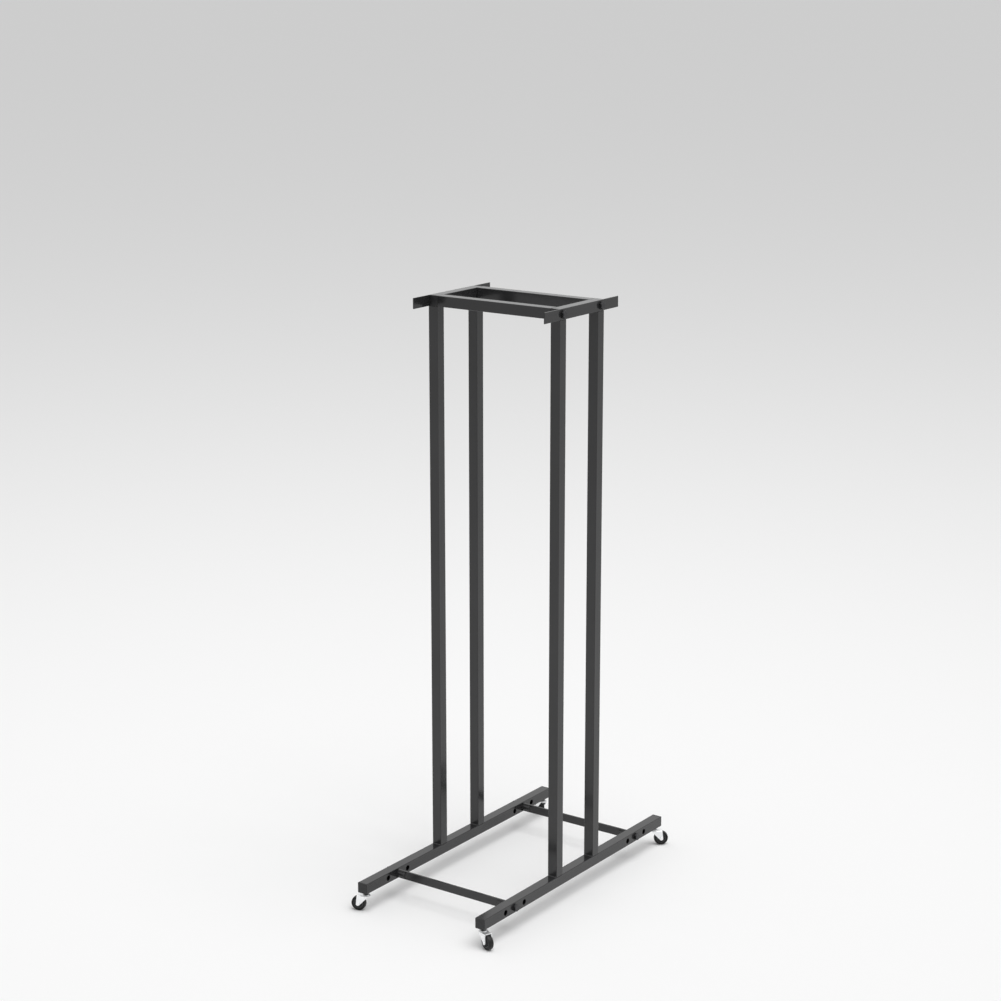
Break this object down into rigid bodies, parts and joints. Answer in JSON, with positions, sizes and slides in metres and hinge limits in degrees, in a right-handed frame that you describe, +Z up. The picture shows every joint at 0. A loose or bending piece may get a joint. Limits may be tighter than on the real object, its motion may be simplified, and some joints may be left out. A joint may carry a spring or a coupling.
{
  "type": "ski rack stand",
  "caption": "Wheeled stand of black square steel tube with a narrow upright frame, an open top frame with side tabs and a long low base, for skis to stand and lean in.",
  "frame": {"origin": "on the floor, under the middle of the rack", "axes": "+Z up; +X to the rack's right, seen from its front; +Y towards the rear, along the base rails"},
  "size_m": [0.4026, 0.7666, 1.402],
  "materials": {
    "frame_paint": "satin powder coat",
    "black_plastic": "moulded, fine grain",
    "black_steel": "black oxide",
    "plain_steel": "turned",
    "zinc_plate": "bright zinc plate",
    "hub_plastic": "moulded",
    "tyre_rubber": "matte"
  },
  "bodies": {
    "rack": {"base_rail_left": "frame_paint", "base_rail_right": "frame_paint", "upright_front_left": "frame_paint", "upright_front_right": "frame_paint", "upright_rear_left": "frame_paint", "upright_rear_right": "frame_paint", "top_rail_left": "frame_paint", "top_rail_right": "frame_paint", "top_bar_front": "frame_paint", "top_bar_rear": "frame_paint", "base_bar_front": "frame_paint", "base_bar_rear": "frame_paint", "base_cap_front_left": "black_plastic", "base_cap_front_right": "black_plastic", "base_cap_rear_left": "black_plastic", "base_cap_rear_right": "black_plastic", "top_cap_front_left": "black_plastic", "top_cap_front_right": "black_plastic", "top_cap_rear_left": "black_plastic", "top_cap_rear_right": "black_plastic", "top_bolt_front_left": "black_steel", "top_bolt_front_right": "black_steel", "top_bolt_rear_left": "black_steel", "top_bolt_rear_right": "black_steel", "base_bolt_front_left": "black_steel", "base_bolt_front_right": "black_steel", "base_bolt_rear_left": "black_steel", "base_bolt_rear_right": "black_steel", "top_insert_front_left": "plain_steel", "top_insert_front_right": "plain_steel", "top_insert_rear_left": "plain_steel", "top_insert_rear_right": "plain_steel", "base_bush_front_left": "frame_paint", "base_bush_front_right": "frame_paint", "base_bush_rear_left": "frame_paint", "base_bush_rear_right": "frame_paint", "caster_stem_front_left": "black_steel", "caster_stem_front_right": "black_steel", "caster_stem_rear_left": "black_steel", "caster_stem_rear_right": "black_steel", "caster_bearing_front_left": "zinc_plate", "caster_bearing_front_right": "zinc_plate", "caster_bearing_rear_left": "zinc_plate", "caster_bearing_rear_right": "zinc_plate"},
    "swivel_front_left": {"caster_fork_front_left": "zinc_plate", "caster_axle_front_left": "zinc_plate"},
    "wheel_front_left": {"caster_hub_front_left": "hub_plastic", "caster_tyre_front_left": "tyre_rubber"},
    "swivel_front_right": {"caster_fork_front_right": "zinc_plate", "caster_axle_front_right": "zinc_plate"},
    "wheel_front_right": {"caster_hub_front_right": "hub_plastic", "caster_tyre_front_right": "tyre_rubber"},
    "swivel_rear_left": {"caster_fork_rear_left": "zinc_plate", "caster_axle_rear_left": "zinc_plate"},
    "wheel_rear_left": {"caster_hub_rear_left": "hub_plastic", "caster_tyre_rear_left": "tyre_rubber"},
    "swivel_rear_right": {"caster_fork_rear_right": "zinc_plate", "caster_axle_rear_right": "zinc_plate"},
    "wheel_rear_right": {"caster_hub_rear_right": "hub_plastic", "caster_tyre_rear_right": "tyre_rubber"}
  },
  "joints": [
    {"name": "caster_swivel_front_left", "type": "hinge", "parent": "rack", "child": "swivel_front_left", "pos_m": [-0.1675, -0.361, 0.0371], "axis": [0, 0, 1], "continuous": true},
    {"name": "caster_roll_front_left", "type": "hinge", "parent": "swivel_front_left", "child": "wheel_front_left", "pos_m": [-0.18405, -0.3667, 0.0175], "axis": [0.3256, -0.9455, 0], "continuous": true},
    {"name": "caster_swivel_front_right", "type": "hinge", "parent": "rack", "child": "swivel_front_right", "pos_m": [0.1675, -0.361, 0.0371], "axis": [0, 0, 1], "continuous": true},
    {"name": "caster_roll_front_right", "type": "hinge", "parent": "swivel_front_right", "child": "wheel_front_right", "pos_m": [0.18373, -0.36756, 0.0175], "axis": [0.3746, 0.9272, 0], "continuous": true},
    {"name": "caster_swivel_rear_left", "type": "hinge", "parent": "rack", "child": "swivel_rear_left", "pos_m": [-0.1675, 0.361, 0.0371], "axis": [0, 0, 1], "continuous": true},
    {"name": "caster_roll_rear_left", "type": "hinge", "parent": "swivel_rear_left", "child": "wheel_rear_left", "pos_m": [-0.18266, 0.36975, 0.0175], "axis": [-0.5, -0.866, 0], "continuous": true},
    {"name": "caster_swivel_rear_right", "type": "hinge", "parent": "rack", "child": "swivel_rear_right", "pos_m": [0.1675, 0.361, 0.0371], "axis": [0, 0, 1], "continuous": true},
    {"name": "caster_roll_rear_right", "type": "hinge", "parent": "swivel_rear_right", "child": "wheel_rear_right", "pos_m": [0.18091, 0.37225, 0.0175], "axis": [-0.6428, 0.766, 0], "continuous": true}
  ]
}
